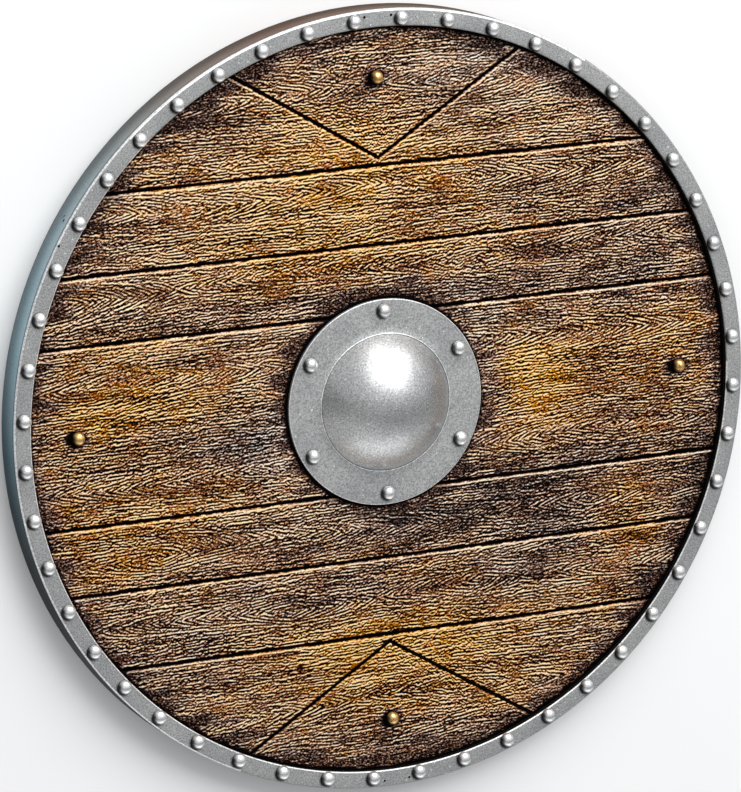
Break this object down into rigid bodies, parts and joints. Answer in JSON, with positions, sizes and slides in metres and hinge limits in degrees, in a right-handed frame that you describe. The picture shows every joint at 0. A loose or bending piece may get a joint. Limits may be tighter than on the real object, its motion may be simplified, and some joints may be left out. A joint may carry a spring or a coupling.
{
  "type": "wooden round shield",
  "caption": "Round wooden shield of brushed, darkened boards in a riveted steel rim, with a domed hand boss, brass studs and a grip bar across the back.",
  "frame": {"origin": "centre of the circle on which the rim's back edge rests, under the middle of the boss", "axes": "+Z out of the face of the shield, which lies on its back; +Y towards its top, square to the board joints; +X along the boards"},
  "size_m": [0.5996, 0.5996, 0.0521],
  "materials": {
    "boards": "brushed raised grain, black in the hollows, golden brown on the ridges, scorched at the edges",
    "grip": "plain oiled wood",
    "rim": "satin silver-grey metallic coating on steel, finely speckled",
    "boss": "satin silver-grey metallic coating on steel, finely speckled",
    "rivets": "bright satin steel",
    "studs": "satin brass, dark around the foot"
  },
  "bodies": {
    "root": {"top_board": "boards", "top_wedge_board": "boards", "upper_outer_board": "boards", "upper_inner_board": "boards", "centre_board": "boards", "lower_inner_board": "boards", "lower_outer_board": "boards", "bottom_board": "boards", "bottom_wedge_board": "boards", "hand_grip": "grip", "steel_rim": "rim", "boss": "boss", "boss_rivet_1": "rivets", "boss_rivet_2": "rivets", "boss_rivet_3": "rivets", "boss_rivet_4": "rivets", "boss_rivet_5": "rivets", "boss_rivet_6": "rivets", "stud_top": "studs", "stud_right": "studs", "stud_bottom": "studs", "stud_left": "studs"}
  },
  "joints": []
}
